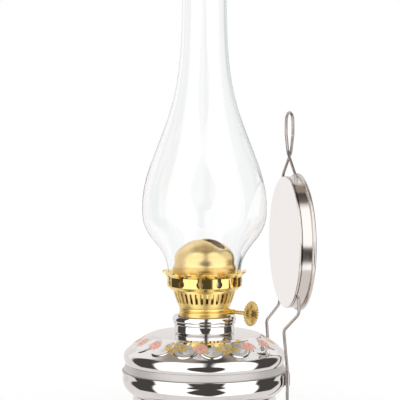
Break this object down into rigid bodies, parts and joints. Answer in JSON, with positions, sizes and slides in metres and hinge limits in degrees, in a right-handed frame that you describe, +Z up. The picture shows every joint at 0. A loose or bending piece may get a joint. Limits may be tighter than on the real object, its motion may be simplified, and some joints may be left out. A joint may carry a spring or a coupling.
{
  "type": "kerosene lamp",
  "caption": "Flat-wick kerosene lamp with a round plated font, brass burner, clear glass chimney and a round reflector on a wire bracket that ends in a hanging loop.",
  "frame": {"origin": "centre of the foot on the table, on the axis of the font, burner and chimney", "axes": "+Z up along the chimney; +Y from the lamp's axis towards the reflector; -Y is the way the light is thrown; the winder points 42 degrees from +X towards +Y"},
  "size_m": [0.089, 0.097, 0.2749],
  "materials": {
    "nickel": "bright nickel plate on pressed tin",
    "plated_wire": "bright plated steel wire",
    "mirror_tin": "polished tin reflector",
    "brass": "polished brass sheet",
    "brass_rod": "drawn brass",
    "fibre": "pressed fibre",
    "cotton": "woven cotton tape",
    "clear_glass": "clear blown glass"
  },
  "bodies": {
    "font": {"foot": "nickel", "bowl": "nickel", "shoulder": "nickel", "font_collar": "nickel", "socket_left": "nickel", "socket_right": "nickel", "bracket_wire": "plated_wire", "reflector_pan": "mirror_tin"},
    "washer": {"burner_washer": "fibre"},
    "burner": {"burner_base": "brass", "burner_deck": "brass", "air_basket": "brass", "gallery": "brass", "wick_tube": "brass", "vent_tube": "brass", "winder_sleeve": "brass"},
    "dome": {"burner_dome": "brass"},
    "winder": {"winder_shaft": "brass_rod", "feed_wheel_inner": "brass_rod", "feed_wheel_outer": "brass_rod", "thumbwheel": "brass"},
    "wick": {"wick": "cotton"},
    "chimney": {"glass_chimney": "clear_glass"}
  },
  "joints": [
    {"name": "burner_rise", "type": "slide", "parent": "font", "child": "washer", "axis": [0, 0, 1], "range_m": [0, 0.00749]},
    {"name": "burner_unscrew", "type": "hinge", "parent": "washer", "child": "burner", "pos_m": [0, 0, 0.0568], "axis": [0, 0, 1], "range_deg": [0, 1080]},
    {"name": "winder_turn", "type": "hinge", "parent": "burner", "child": "winder", "pos_m": [0.01744, 0.02143, 0.06012], "axis": [0.7431, 0.6691, 0], "range_deg": [-82, 164]},
    {"name": "wick_feed", "type": "slide", "parent": "burner", "child": "wick", "axis": [0, 0, 1], "range_m": [-0.0079, 0.0039]},
    {"name": "dome_lift", "type": "slide", "parent": "burner", "child": "dome", "axis": [0, 0, 1], "range_m": [0, 0.02]},
    {"name": "chimney_lift", "type": "slide", "parent": "burner", "child": "chimney", "axis": [0, 0, 1], "range_m": [0, 0.06]}
  ],
  "couplings": [
    {"joint": "burner_unscrew", "follows": "burner_rise", "rad_per_m": 2513.3},
    {"joint": "winder_turn", "follows": "wick_feed", "rad_per_m": -357.14}
  ]
}
